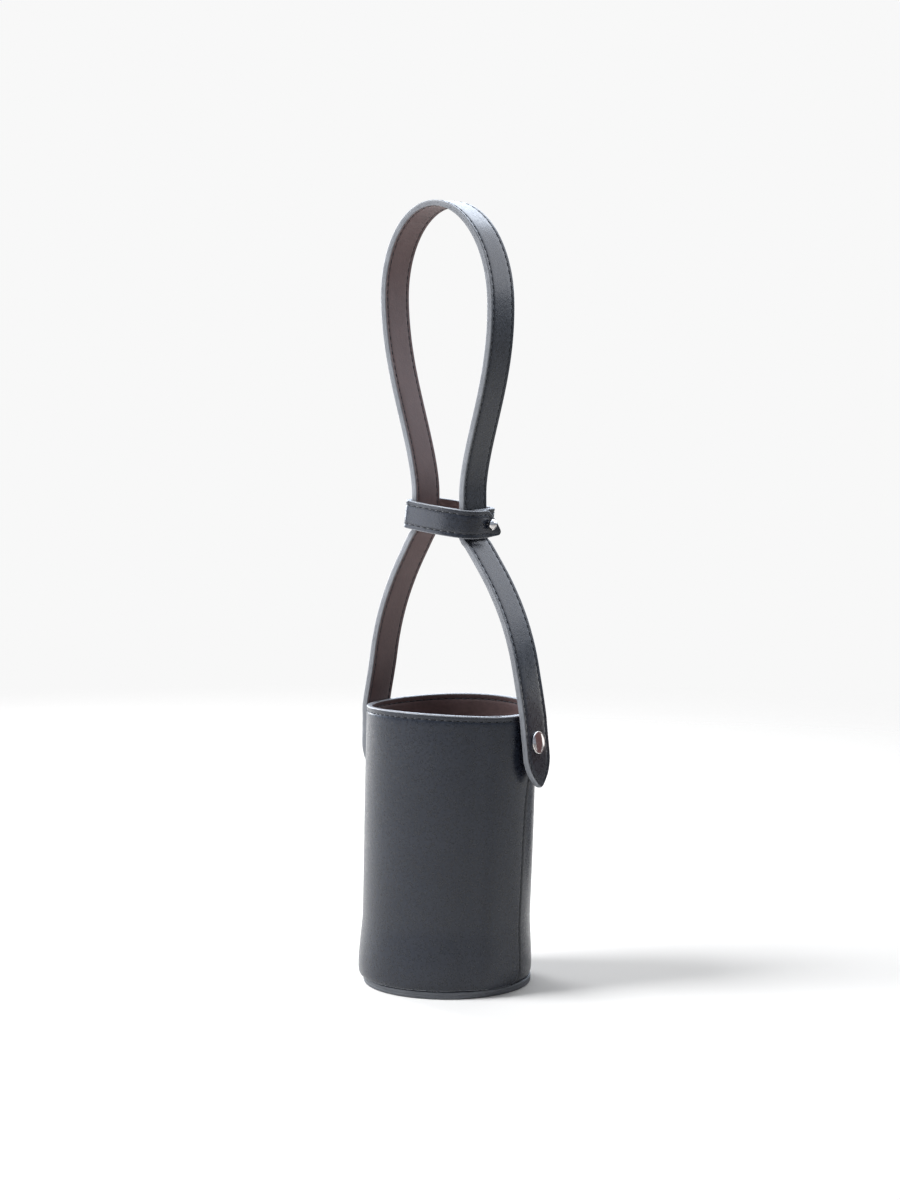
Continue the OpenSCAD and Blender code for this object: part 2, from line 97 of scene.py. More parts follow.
def addNode(tree, kind, settings=None, links=None):
    made = tree.nodes.new(kind)
    for key, value in (settings or {}).items():
        if isinstance(key, int) or key in made.inputs:
            made.inputs[key].default_value = value
        else:
            setattr(made, key, value)
    for key, source in (links or {}).items():
        tree.links.new(source, made.inputs[key])
    return made


def newMaterial(name):
    material = bpy.data.materials.new(name)
    material.use_nodes = True
    tree = material.node_tree
    tree.nodes.clear()
    return material, tree


def texturedMaterial(name):
    material, tree = newMaterial(name)
    return material, tree, addNode(tree, "ShaderNodeTexCoord").outputs["Object"]


def output(tree, shader, kind="ShaderNodeOutputMaterial"):
    addNode(tree, kind, None, {"Surface": shader})


def mixedShader(tree, share, first, second):
    return addNode(tree, "ShaderNodeMixShader", None, {0: share, 1: first, 2: second}).outputs[0]


def perMetre(sizeMm):
    return 1000 / sizeMm


def noise(tree, place, sizeMm, detail, roughness=0.5):
    settings = {"Scale": perMetre(sizeMm), "Detail": detail, "Roughness": roughness}
    return addNode(tree, "ShaderNodeTexNoise", settings, {"Vector": place}).outputs["Fac"]


def ranged(tree, value, low, high, toLow=0, toHigh=1, curve="LINEAR"):
    limits = {"interpolation_type": curve, "From Min": low, "From Max": high, "To Min": toLow,
              "To Max": toHigh}
    return addNode(tree, "ShaderNodeMapRange", limits, {"Value": value}).outputs["Result"]


def twoTones(tree, first, second, share):
    tones = {"data_type": "RGBA", 6: linearColour(first), 7: linearColour(second)}
    return addNode(tree, "ShaderNodeMix", tones, {0: share}).outputs[2]


def specked(tree, colour, pores, amount):
    # the colour darkens and lightens with its pores
    shade = ranged(tree, pores, 0.25, 0.75, 1 - amount, 1 + amount)
    scaled = addNode(tree, "ShaderNodeVectorMath", {"operation": "SCALE"}, {0: colour, "Scale": shade})
    return scaled.outputs["Vector"]


def bump(tree, strength, depthMm, links):
    raised = addNode(tree, "ShaderNodeBump", {"Strength": strength, "Distance": depthMm * mm}, links)
    return raised.outputs["Normal"]


def surface(tree, settings, links):
    shader = addNode(tree, "ShaderNodeBsdfPrincipled", settings, links)
    output(tree, shader.outputs["BSDF"])


# How much further apart the pores lie than the cells of the grain
poreSpread = 2.3


def leatherMaterial(look):
    # two tones that drift over a few centimetres, a pebbled grain, and gloss that the grain breaks up
    material, tree, place = texturedMaterial(look["name"])
    drift = noise(tree, place, look["driftMm"], 3)
    cells = addNode(tree, "ShaderNodeTexVoronoi", {"feature": "SMOOTH_F1", "Scale": perMetre(look["grainMm"]),
                                                   "Smoothness": 0.35}, {"Vector": place})
    pores = noise(tree, place, look["grainMm"] * poreSpread, 5, 0.6)
    folds = noise(tree, place, look["foldMm"], 2)
    colour = twoTones(tree, look["colour"], look["drifted"], ranged(tree, drift, 0.3, 0.7))
    broad = bump(tree, 1, look["foldDepthMm"], {"Height": folds})
    fine = bump(tree, 0.8, look["grainDepthMm"], {"Height": cells.outputs["Distance"], "Normal": broad})
    skin = bump(tree, 0.6, look["grainDepthMm"], {"Height": pores, "Normal": fine})
    surface(tree, {"IOR": 1.5, "Specular IOR Level": look["specular"]},
            {"Base Color": specked(tree, colour, pores, look["speck"]),
             "Roughness": ranged(tree, pores, 0.3, 0.7, *look["gloss"]), "Normal": skin})
    return material


# Chrome-tanned cowhide, dyed through and finished with a satin topcoat: near black, with a soft cool sheen.
# The real grain is too fine for the picture, so it is drawn at nearly a millimetre.
blackLeather = leatherMaterial({
    "name": "satinBlackCowhide", "colour": "#181d28", "drifted": "#1e232e", "driftMm": 40, "grainMm": 0.8,
    "grainDepthMm": 0.055, "foldMm": 9, "foldDepthMm": 0.10, "speck": 0.44, "gloss": (0.22, 0.37),
    "specular": 0.5})
# Thin calf lining, aniline dyed a dull mauve brown, with a duller hand than the outside
brownLining = leatherMaterial({
    "name": "mauveBrownLiningCalf", "colour": "#64504f", "drifted": "#6f5a59", "driftMm": 22, "grainMm": 0.9,
    "grainDepthMm": 0.05, "foldMm": 7, "foldDepthMm": 0.08, "speck": 0.16, "gloss": (0.48, 0.62),
    "specular": 0.4})


def edgeMaterial(look):
    # a cut leather edge with its coat: a little cloudy and not quite even
    material, tree, place = texturedMaterial(look["name"])
    cloud = noise(tree, place, look["cloudMm"], 4)
    fibre = noise(tree, place, look["fibreMm"], 4, 0.65)
    colour = twoTones(tree, look["colour"], look["clouded"], ranged(tree, cloud, 0.32, 0.68))
    surface(tree, {"IOR": 1.5, "Roughness": look["roughness"]},
            {"Base Color": specked(tree, colour, fibre, 0.16),
             "Normal": bump(tree, 0.7, look["fibreDepthMm"], {"Height": fibre})})
    return material


# Two coats of grey edge paint, sanded between
greyEdgePaint = edgeMaterial({
    "name": "greyEdgePaint", "colour": "#7b7e84", "clouded": "#888b91", "cloudMm": 7, "fibreMm": 0.5,
    "fibreDepthMm": 0.06, "roughness": 0.42})
# The outsole's edge is three cut layers under thinner paint, so it is darker and more broken
greyLayeredEdge = edgeMaterial({
    "name": "paintedOutsoleEdge", "colour": "#4d5055", "clouded": "#595c62", "cloudMm": 14, "fibreMm": 0.8,
    "fibreDepthMm": 0.10, "roughness": 0.5})
# The sleeve's lapped end is only dyed and burnished: dark, with a little wax on it. The same dark on a narrow
# margin of its face is painted shade, for the shadow of the lap's step.
burnishedEdgeAndLapShade = edgeMaterial({
    "name": "burnishedEdgeAndPaintedLapShade", "colour": "#17191d", "clouded": "#1e2025", "cloudMm": 6, "fibreMm": 0.5,
    "fibreDepthMm": 0.06, "roughness": 0.5})


def threadMaterial(name, low, high, roughness):
    # waxed polyester thread: black, with a faint line of light on each twist
    material, tree, place = texturedMaterial(name)
    twist = noise(tree, place, 0.35, 2)
    surface(tree, {"IOR": 1.5, "Roughness": roughness},
            {"Base Color": twoTones(tree, low, high, twist),
             "Normal": bump(tree, 0.6, 0.05, {"Height": twist})})
    return material


def nickelMaterial():
    # brass caps, nickel plated and buffed: bright and slightly warm, with hairlines from handling
    material, tree, place = texturedMaterial("buffedNickelPlate")
    hairlines = noise(tree, place, 1.1, 5, 0.7)
    surface(tree, {"Metallic": 1},
            {"Base Color": twoTones(tree, "#dbd8d6", "#cfcbc9", hairlines),
             "Roughness": ranged(tree, hairlines, 0.3, 0.7, 0.06, 0.16),
             "Normal": bump(tree, 0.25, 0.01, {"Height": hairlines})})
    return material


blackThread = threadMaterial("waxedBlackThread", "#1b1d23", "#262830", 0.4)
# Inside a needle hole there is only torn leather and shade
holeShade = threadMaterial("needleHoleShade", "#050506", "#08080a", 1)
nickelPlate = nickelMaterial()
print("materials are mixed")


# Tools of the bench

# Points this close, in millimetres, lie on the same line of a blank
closeMm = 0.01


def startPiece(name, materials):
    piece = bpy.context.object
    piece.name = piece.data.name = name
    for material in materials:
        piece.data.materials.append(material)
    return piece


def giveCoat(nodeName, material):
    # a CAD node that keeps its shape takes a better material
    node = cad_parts[nodeName]
    node.data.materials.clear()
    node.data.materials.append(material)


def bothEdges(width, insets):
    return [side * (width / 2 - inset) for side in (-1, 1) for inset in insets]


def cutFaces(axis, places):
    # cuts the active piece's faces at each place along an axis
    across = [float(k == axis) for k in range(3)]
    bpy.ops.object.mode_set(mode="EDIT")
    for place in places:
        bpy.ops.mesh.select_all(action="SELECT")
        bpy.ops.mesh.bisect(plane_co=[place * k for k in across], plane_no=across)
    bpy.ops.object.mode_set(mode="OBJECT")


def flatBlank(name, blank, materials):
    # a blank lies flat in millimetres: x along, y across, z out of its face
    bpy.ops.object.select_all(action="DESELECT")
    bpy.ops.mesh.primitive_grid_add(x_subdivisions=blank["columns"], y_subdivisions=blank["rows"], size=1)
    piece = startPiece(name, materials)
    piece.scale = (blank["length"], blank["width"], 1)
    piece.location.x = blank["length"] / 2
    bpy.ops.object.transform_apply(location=True, rotation=False, scale=True)
    cutFaces(0, blank.get("cutsAlong", ()))
    cutFaces(1, blank["cutsAcross"])
    return piece


def pickOnly(piece):
    bpy.ops.object.select_all(action="DESELECT")
    piece.select_set(True)
    bpy.context.view_layer.objects.active = piece


def smoothOver(piece, angle):
    # smooth wherever faces meet at less than the angle
    pickOnly(piece)
    bpy.ops.object.shade_smooth_by_angle(angle=math.radians(angle))


def readPoints(piece):
    points = np.empty(len(piece.data.vertices) * 3)
    piece.data.vertices.foreach_get("co", points)
    return points.reshape(-1, 3)


def writePoints(piece, points):
    piece.data.vertices.foreach_set("co", np.ascontiguousarray(points).ravel())
    piece.data.update()


def roundRim(piece, level, radius, skipEnd=None):
    # rounds the rim at one level of the blank, apart from a butt end
    bpy.ops.object.mode_set(mode="EDIT")
    bpy.ops.mesh.select_mode(type="EDGE")
    bpy.ops.mesh.select_all(action="DESELECT")
    sheet = bmesh.from_edit_mesh(piece.data)
    for edge in sheet.edges:
        onLevel = all(abs(v.co.z - level) < closeMm for v in edge.verts)
        butt = skipEnd is not None and all(abs(v.co.x - skipEnd) < closeMm for v in edge.verts)
        if onLevel and not butt and len(edge.link_faces) == 2 and edge.calc_face_angle(0) > 1:
            edge.select_set(True)
    bmesh.update_edit_mesh(piece.data)
    bpy.ops.mesh.bevel(offset=radius, offset_type="OFFSET", segments=3, profile=0.5, affect="EDGES",
                       material=1)
    bpy.ops.object.mode_set(mode="OBJECT")


def pressSeam(piece, level, sign, inset, seam):
    # the thread pulls the leather down along the seam
    points = readPoints(piece)
    onFace = np.abs(points[:, 2] - level) < 2 * closeMm
    depth = seam["depth"] * np.exp(-((inset(points) - seam["inset"]) / seam["spread"]) ** 2)
    points[:, 2] -= np.where(onFace, depth, 0) * sign
    writePoints(piece, points)


def makeUp(piece, thickness, side, radius, seams, skipEnd=None):
    # the face stays, the flesh side goes down and the cut rim takes the edge paint; on the side that
    # shows, the rim is rounded and the seams pressed
    solid = piece.modifiers.new("thickness", "SOLIDIFY")
    solid.thickness = thickness
    solid.offset = -1
    solid.material_offset_rim = 1
    bpy.ops.object.modifier_apply(modifier=solid.name)
    level = 0 if side > 0 else -thickness
    roundRim(piece, level, radius, skipEnd)
    for inset, seam in seams:
        pressSeam(piece, level, side, inset, seam)


def bend(piece, placeOf):
    # takes a flat piece in millimetres to its place on the carrier in metres
    writePoints(piece, placeOf(readPoints(piece)) * mm)
    smoothOver(piece, angle=40)


# One stitch: a short thread that dips into its needle holes, and the dark oval hole that it shares with
# the next. The cuts are shares of its half length, where the thread bends.
stitchSize = {"length": 3.0, "radius": 0.28, "sides": 8, "cuts": (-0.86, -0.55, 0, 0.55, 0.86), "dip": 0.45,
              "taper": 0.3, "pitch": 4.1, "holeLength": 1.5, "holeWidth": 0.85, "holeDepth": 0.3,
              "holeTop": 0.05, "sink": 0.14}


def modelStitch():
    bpy.ops.object.select_all(action="DESELECT")
    bpy.ops.mesh.primitive_cylinder_add(vertices=stitchSize["sides"], radius=stitchSize["radius"],
                                        depth=stitchSize["length"], rotation=(0, math.pi / 2, 0))
    stitch = startPiece("stitchPattern", [blackThread])
    bpy.ops.object.transform_apply(rotation=True)
    half = stitchSize["length"] / 2
    cutFaces(0, [share * half for share in stitchSize["cuts"]])
    points = readPoints(stitch)
    reach = np.abs(points[:, 0]) / half
    points[:, 1:] *= (1 - stitchSize["taper"] * reach**4)[:, None]
    points[:, 2] -= stitchSize["dip"] * reach**4
    writePoints(stitch, points)
    bpy.ops.object.select_all(action="DESELECT")
    bpy.ops.mesh.primitive_cylinder_add(vertices=12, radius=0.5, depth=stitchSize["holeDepth"])
    hole = startPiece("needleHole", [holeShade])
    hole.scale = (stitchSize["holeLength"], stitchSize["holeWidth"], 1)
    middle = stitchSize["holeTop"] - stitchSize["holeDepth"] / 2 - stitchSize["sink"]
    hole.location = (stitchSize["pitch"] / 2, 0, middle)
    bpy.ops.object.transform_apply(location=True, rotation=False, scale=True)
    stitch.select_set(True)
    bpy.context.view_layer.objects.active = stitch
    bpy.ops.object.join()
    return stitch


stitchPattern = modelStitch()


# A stitch takes its heading from its seam half a millimetre back and half a millimetre on
headingSteps = (-0.5, 0, 0.5)


def evenSpots(start, end, height):
    return [(x, height, 0) for x in np.arange(start, end, stitchSize["pitch"])]


def sewRow(name, spots, face, sign, seam, placeOf):
    # copies of the one stitch, laid along the pressed seam on the flat blank, then bent with it
    level = face - sign * (seam["depth"] - stitchSize["sink"])
    copies = []
    for x, y, heading in spots:
        copy = stitchPattern.copy()
        copy.data = stitchPattern.data.copy()
        bpy.context.scene.collection.objects.link(copy)
        flip = Matrix.Rotation(math.pi, 4, "X") if sign < 0 else Matrix.Identity(4)
        copy.matrix_world = Matrix.Translation((x, y, level)) @ Matrix.Rotation(heading, 4, "Z") @ flip
        copies.append(copy)
    bpy.context.view_layer.update()
    bpy.ops.object.select_all(action="DESELECT")
    for copy in copies:
        copy.select_set(True)
    bpy.context.view_layer.objects.active = copies[0]
    bpy.ops.object.join()
    row = bpy.context.object
    row.name = row.data.name = name
    bpy.ops.object.transform_apply(location=True, rotation=True, scale=True)
    bend(row, placeOf)
    return row


def turned(name, profile, sides, material):
    # turned on a lathe in millimetres, from its seat outwards along z: each ring is extruded and scaled
    bpy.ops.object.select_all(action="DESELECT")
    bpy.ops.mesh.primitive_circle_add(vertices=sides, radius=profile[0][0])
    piece = startPiece(name, [material])
    bpy.ops.object.mode_set(mode="EDIT")
    bpy.ops.mesh.select_mode(type="EDGE")
    bpy.ops.mesh.select_all(action="SELECT")
    bpy.ops.transform.translate(value=(0, 0, profile[0][1]))
    for (radius, height), (nextRadius, nextHeight) in zip(profile, profile[1:]):
        bpy.ops.mesh.extrude_region_move(TRANSFORM_OT_translate={"value": (0, 0, nextHeight - height)})
        bpy.ops.transform.resize(value=(nextRadius / radius, nextRadius / radius, 1),
                                 center_override=(0, 0, nextHeight))
    bpy.ops.mesh.edge_face_add()
    bpy.ops.mesh.select_all(action="DESELECT")
    rings = bmesh.from_edit_mesh(piece.data)
    for edge in rings.edges:
        edge.select_set(edge.is_boundary)
    bmesh.update_edit_mesh(piece.data)
    bpy.ops.mesh.edge_face_add()
    bpy.ops.mesh.select_all(action="SELECT")
    bpy.ops.mesh.normals_make_consistent(inside=False)
    bpy.ops.object.mode_set(mode="OBJECT")
    return piece


def seat(piece, matrix, smoothAngle=40):
    # takes a turned piece in millimetres to its seat in metres
    piece.data.transform(Matrix.Scale(mm, 4) @ matrix)
    smoothOver(piece, smoothAngle)


def punch(piece, tool):
    # cuts the piece with a tool; the wall of the cut takes the edge paint
    tool.data.materials.append(greyEdgePaint)
    cut = piece.modifiers.new("punch", "BOOLEAN")
    cut.operation = "DIFFERENCE"
    cut.solver = "EXACT"
    cut.object = tool
    cut.material_mode = "TRANSFER"
    pickOnly(piece)
    bpy.ops.object.modifier_apply(modifier=cut.name)
    bpy.data.objects.remove(tool)


# The sleeve: one leather wrapped round, its front end lapped over its back end along an edge that is
# upright and slants only near the rim
wall = {"foot": 4.3, "rim": 150, "mouthLength": 94.4, "mouthDepth": 87, "footDiameter": 90.6, "swell": 1.7,
        "swellHeight": 31, "swellSkewShare": 0.42, "mouthShift": 3.3, "footShift": -1.5, "rimDrop": 0.5,
        "rimRise": 2, "leather": 1.6, "lining": 1.3, "glue": 0.05, "lapGlue": 0.15, "underEnd": 66,
        "lapMargin": 4, "lapClimb": 17, "seamFoot": 90.5, "seamRim": 104, "seamPower": 5, "seamCorner": 7,
        "pull": 1.76, "pullDrop": 15, "pullHeight": 32, "pullSpread": 0.05}
# A slow unevenness of the wall: its depth, and how fast it turns on the way round and up
wallWave = {"depth": 0.16, "round": 2.3, "up": 4.1, "upAgain": 5.2, "twist": 1.7, "phase": 0.6}
wallHeight = wall["rim"] - wall["foot"]
lapRise = wall["leather"] + wall["lapGlue"]
rimSeam = {"inset": 2.8, "depth": 0.28, "spread": 0.75, "startGap": 14, "endGap": 4, "liningGap": 2}
lapSeam = {"inset": 2.2, "depth": 0.25, "spread": 0.6, "footGap": 5, "rimGap": 1, "margin": 3}


def wallPoint(angle, up, out):
    # angle in degrees from the front towards the right rivet, share up the wall, distance outside its face
    turn = np.radians(angle)
    ripple = 180 * np.clip(up * wallHeight / wall["swellHeight"], 0, 1) ** wall["swellSkewShare"]
    swell = wall["swell"] * np.sin(np.radians(ripple))
    wave = wallWave["depth"] * np.sin(wallWave["round"] * turn + wallWave["up"] * up)
    wave = wave * np.sin(wallWave["upAgain"] * up + wallWave["twist"] * np.sin(turn) + wallWave["phase"])
    halfLength = mixed(wall["footDiameter"], wall["mouthLength"], up) / 2 + swell + wave + out
    halfDepth = mixed(wall["footDiameter"], wall["mouthDepth"], up) / 2 + swell + wave + out
    # the right rivet draws the wall out towards its strap
    rise = wall["foot"] + up * wallHeight - wall["rim"] + wall["pullDrop"]
    above = np.clip(1 - rise / wall["pullDrop"], 0, 1)
    pull = wall["pull"] * np.where(rise > 0, above, eased(1 + rise / wall["pullHeight"]))
    pull = pull * np.exp((np.sin(turn) - 1) / wall["pullSpread"])
    shift = mixed(wall["footShift"], wall["mouthShift"], up) + pull
    rim = wallHeight - wall["rimDrop"] / 2 * np.sin(turn) + wall["rimRise"] * np.cos(turn)**2
    height = wall["foot"] + up * rim
    return np.stack([shift + halfLength * np.sin(turn), -halfDepth * np.cos(turn), height], axis=1)


def panelPlace(points):
    # the outer leather runs from its under end at x = 0 to its lapped front end
    up = points[:, 1] / wallHeight + 0.5
    corner = 1 - np.sqrt(1 - (1 - np.clip(up * wallHeight / wall["seamCorner"], 0, 1)) ** 2)
    seam = mixed(wall["seamFoot"], wall["seamRim"], np.clip(up, 0, 1) ** wall["seamPower"])
    seam = seam - corner * math.degrees(2 * wall["seamCorner"] / wall["footDiameter"])
    angle = mixed(wall["underEnd"] - 360, seam, points[:, 0] / sleeveBlank["length"])
    fullAngle = wall["underEnd"] - wall["lapMargin"]
    lift = lapRise * eased((angle - fullAngle + wall["lapClimb"]) / wall["lapClimb"])
    return wallPoint(angle, up, lift + points[:, 2])


def liningPlace(points):
    up = points[:, 1] / wallHeight + 0.5
    start = wall["underEnd"] - wall["lapMargin"]
    angle = start - 360 * (1 - points[:, 0] / liningBlank["length"])
    return wallPoint(angle, up, points[:, 2] - wall["leather"] - wall["glue"])


def rimInset(points):
    return wallHeight / 2 - points[:, 1]


def lapInset(points):
    return sleeveBlank["length"] - points[:, 0]


def burnishEndAndPaintLapShade(piece, end):
    # the lapped end takes no edge paint: its edge is burnished dark, and a narrow margin of its face gets the
    # same dark as painted shade, for the shadow beside the lap's step
    fleshSide = 0.1 - wall["leather"]
    for face in piece.data.polygons:
        if face.center.x > end - lapSeam["margin"] and face.center.z > fleshSide:
            face.material_index = 2


footCuts = [-wallHeight / 2 + d for d in (0.5, 1.1, 1.9, 3, 4.6, 6.8)]
rimCuts = [wallHeight / 2 - d for d in (0.7, 1.3, 1.9, 2.35, 2.8, 3.25, 3.7, 4.5)]
sleeveBlank = {"length": 316, "width": wallHeight, "columns": 156, "rows": 44,
               "cutsAcross": footCuts + rimCuts}
sleeveBlank["cutsAlong"] = [sleeveBlank["length"] - d for d in (0.9, 1.4, 1.8, 2.2, 2.6, 3.0, 3.5)]
sleeve = flatBlank("sleeveLeather", sleeveBlank, [blackLeather, greyEdgePaint, burnishedEdgeAndLapShade])
makeUp(sleeve, wall["leather"], 1, radius=0.6, seams=[(rimInset, rimSeam), (lapInset, lapSeam)])
# the lapped end: its burnished edge, and painted shade on the margin of its face
burnishEndAndPaintLapShade(sleeve, sleeveBlank["length"])
bend(sleeve, panelPlace)
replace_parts(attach(sleeve, "sleeve"), "sleeve_panel")

liningBlank = {"length": 270, "width": wallHeight, "columns": 140, "rows": 44,
               "cutsAcross": footCuts + rimCuts}
sleeveLining = flatBlank("sleeveLining", liningBlank, [brownLining, greyEdgePaint])
makeUp(sleeveLining, wall["lining"], -1, radius=0.5, seams=[(rimInset, rimSeam)])
bend(sleeveLining, liningPlace)
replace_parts(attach(sleeveLining, "sleeve"), "sleeve_lining")

rowHeight = wallHeight / 2 - rimSeam["inset"]
lapFoot = lapSeam["footGap"] - wallHeight / 2
panelSpots = evenSpots(rimSeam["startGap"], sleeveBlank["length"] - rimSeam["endGap"], rowHeight)
lapSpots = [(sleeveBlank["length"] - lapSeam["inset"], y, math.pi / 2)
            for y in np.arange(rowHeight - lapSeam["rimGap"], lapFoot, -stitchSize["pitch"])]
liningSpots = evenSpots(rimSeam["liningGap"], liningBlank["length"] - rimSeam["liningGap"], rowHeight)
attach(sewRow("rimStitches", panelSpots, 0, 1, rimSeam, panelPlace), "sleeve")
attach(sewRow("lapStitches", lapSpots, 0, 1, lapSeam, panelPlace), "sleeve")
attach(sewRow("rimStitchesInside", liningSpots, -wall["lining"], -1, rimSeam, liningPlace), "sleeve")
print("the sleeve is wrapped and stitched")

# The base: a thick outsole of stacked leather, its edge painted, and the insole that closes the foot
outsole = {"radius": 45.5, "thickness": 4, "topRound": 0.6, "heelRound": 1.4, "layerHeight": 1.9,
           "layerLine": 0.1, "lineHalf": 0.11, "ring": 9}


def outsoleProfile():
    r, h = outsole["radius"], outsole["thickness"]
    low, high = outsole["heelRound"], outsole["topRound"]
    corner = [math.radians(a) for a in (0, 15, 30, 45, 60, 75, 90)]
    heel = [(r - low + low * math.sin(a), low - low * math.cos(a)) for a in corner]
    top = [(r - high + high * math.cos(a), h - high + high * math.sin(a)) for a in corner]
    z = outsole["layerHeight"]
    line = [(r, z - outsole["lineHalf"]), (r - outsole["layerLine"], z), (r, z + outsole["lineHalf"])]
    return [(r - outsole["ring"], 0)] + heel + line + top + [(r - outsole["ring"], h)]


base = turned("baseOutsole", outsoleProfile(), 200, greyLayeredEdge)
seat(base, Matrix.Identity(4), smoothAngle=50)
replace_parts(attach(base, "sleeve"), "base_outsole")
giveCoat("base_insole", brownLining)
print("the base is turned")

# The handle: one lined strap from tongue to tongue
strap = {"width": 23, "leather": 1.6, "lining": 1.4, "glue": 0.05, "top": 420, "loopWidth": 70, "neck": 27,
         "tongue": 17, "tipReach": 24, "taperPower": 1.9, "tipShare": 0.19, "noseDepth": 1.6, "noseFade": 6,
         "noseRound": 0.95, "spreadHalf": 5.6, "topShift": -1.5, "rightSlant": 6.3, "leftSlant": 1.5,
         "rivetDrop": 15, "gap": 0.3, "waistAbove": 0.9, "waistBelow": 0.54, "widestShare": 0.667,
         "throatPower": 0.82, "shiftPower": 2.5}
# A slow unevenness of the strap, with none near its two ends
strapWave = {"depth": 0.12, "short": 23, "long": 41, "phase": 0.4, "flatEnd": 80}
collar = {"height": 252, "width": 15, "leather": 1.2, "lining": 1.1, "bow": 3.85, "tilt": 7, "shift": 1.6,
          "reach": 12, "lift": 3, "liftStart": 0.12, "underShare": 0.62, "climbShare": 0.34,
          "bendStart": 0.62, "bendBack": 1.5}
stud = {"head": 6.1, "headDepth": 3.9, "neck": 3.4, "foot": 7.6, "footThickness": 0.7, "offset": 3,
        "lowRound": 0.15, "highRound": 0.2, "holePlay": 0.1, "slitLength": 9, "slitWidth": 0.5,
        "punchReach": 9}
# Steps between two given points of a curve, and of the throat and the crown
routeSteps = 24
loopSteps = 60
tilt = math.radians(collar["tilt"])
strapLayers = strap["leather"] + strap["glue"] + strap["lining"]
strapHalf = strap["width"] / 2
rivetHeight = wall["rim"] - strap["rivetDrop"]
rivetShare = (rivetHeight - wall["foot"]) / wallHeight
opening = (wall["mouthLength"] - wall["footDiameter"]) / 2
leaning = wall["mouthShift"] - wall["footShift"]
rightRake = (opening + leaning) / wallHeight
leftRake = (opening - leaning) / wallHeight
sideHalf = mixed(wall["footDiameter"], wall["mouthLength"], rivetShare) / 2
sideShift = mixed(wall["footShift"], wall["mouthShift"], rivetShare)


def standOff(rake, slant):
    # the strap clears the leaning wall at the rim and all the way round its swing
    lean = rake + math.tan(math.radians(slant))
    out = max(lean * strap["rivetDrop"], -lean * strap["tipReach"], abs(rake) * strapHalf)
    return strap["gap"] + out


rightStrap = sideShift + sideHalf + lapRise + standOff(rightRake, strap["rightSlant"])
leftStrap = sideShift - sideHalf - standOff(leftRake, strap["leftSlant"])
neckHalf = (strap["neck"] + strapLayers) / 2
loopHalf = (strap["loopWidth"] - strapLayers) / 2
waistHigh = collar["height"] + collar["width"] * strap["waistAbove"]
crownTop = strap["top"] - strapLayers / 2
loopWidest = mixed(waistHigh, crownTop, strap["widestShare"])
collarOut = neckHalf + strapLayers / 2 + strap["gap"] + collar["width"] / 2 * math.sin(tilt)
collarSide = collarOut / math.cos(tilt)
# Leg of the handle above the rim: share of the height up to the waist, then share of the width
legShares = [(0.3, 0.88), (0.46, 0.787), (0.62, 0.64), (0.77, 0.435), (0.9, 0.205), (0.97, 0.07), (1, 0)]


def legLine(side, rivetX, slant):
    # one leg, from the tip of its tongue past the rivet and the rim to the waist
    lean = side * math.tan(math.radians(slant))
    neckX = collar["shift"] + side * neckHalf
    waistLow = collar["height"] - collar["width"] * strap["waistBelow"] - side * collarSide * math.sin(tilt)
    knots = [(rivetX - lean * h, rivetHeight + h)
             for h in (-strap["tipReach"], 0, strap["rivetDrop"] / 2, strap["rivetDrop"])]
    knots += [(mixed(neckX, rivetX, wide), mixed(rivetHeight, waistLow, high)) for high, wide in legShares]
    return curveThrough(knots + [(neckX, collar["height"]), (neckX, waistHigh)], routeSteps)


def handleRoute():
    # both legs, and between them the throat that opens from the waist and the round crown
    t = np.arange(1, loopSteps + 1) / loopSteps
    wide = mixed(neckHalf, loopHalf, eased(t ** strap["throatPower"]))
    throat = np.stack([wide, mixed(waistHigh, loopWidest, t)], axis=1)
    turn = t * np.pi / 2
    crown = np.stack([loopHalf * np.cos(turn), loopWidest + (crownTop - loopWidest) * np.sin(turn)], axis=1)
    half = np.vstack([throat, crown])
    rise = np.clip((half[:, 1] - collar["height"]) / (strap["top"] - collar["height"]), 0, 1)
    centre = mixed(collar["shift"], strap["topShift"], rise ** strap["shiftPower"])
    right = np.stack([centre + half[:, 0], half[:, 1]], axis=1)
    left = np.stack([centre - half[:, 0], half[:, 1]], axis=1)
    rightLeg = legLine(1, rightStrap + strapLayers / 2, strap["rightSlant"])
    leftLeg = legLine(-1, leftStrap - strapLayers / 2, strap["leftSlant"])
    return Route(np.vstack([rightLeg, right, left[-2::-1], leftLeg[::-1]]))


strapRoute = handleRoute()


def strapPlace(points):
    # out of the strap's middle, with a slow unevenness that lies well inside every gap
    along = points[:, 0]
    half = strapRoute.length / 2
    wave = strapWave["depth"] * np.sin(along / strapWave["short"])
    wave = wave * np.sin(along / strapWave["long"] + strapWave["phase"])
    wave = np.where(np.abs(along - half) < half - strapWave["flatEnd"], wave, 0)
    x, z = strapRoute.at(along, points[:, 2] + wave)
    return np.stack([x, -points[:, 1], z], axis=1)


# The seam, and the cuts that let the seam and the tongues bend finely
strapSeam = {"inset": 2.5, "depth": 0.26, "spread": 0.7, "start": 3.2}
seamCuts = [0.7, 1.2, 1.7, 2.1, 2.5, 2.9, 3.4, 4.1]
tongueCuts = [0.7, 1.5, 2.3, 3.2, 4.2]


def tongueShare(along):
    # the strap's half width, as a share, near either tip
    fromTip = np.minimum(along, strapRoute.length - along)
    t = np.clip(fromTip / strap["tongue"], 0, 1)
    return mixed(strap["tipShare"], 1, 1 - (1 - t) ** strap["taperPower"])


def tongueHalf(along, inset):
    # half width at an inset from the edge: lines near the edge keep their distance until the tongue is narrow
    half = strapHalf * tongueShare(along)
    kept = np.minimum(1, half / strap["spreadHalf"])
    band = seamCuts[-1]
    return np.where(inset <= band, half - inset * kept,
                    (half - band * kept) * (strapHalf - inset) / (strapHalf - band))


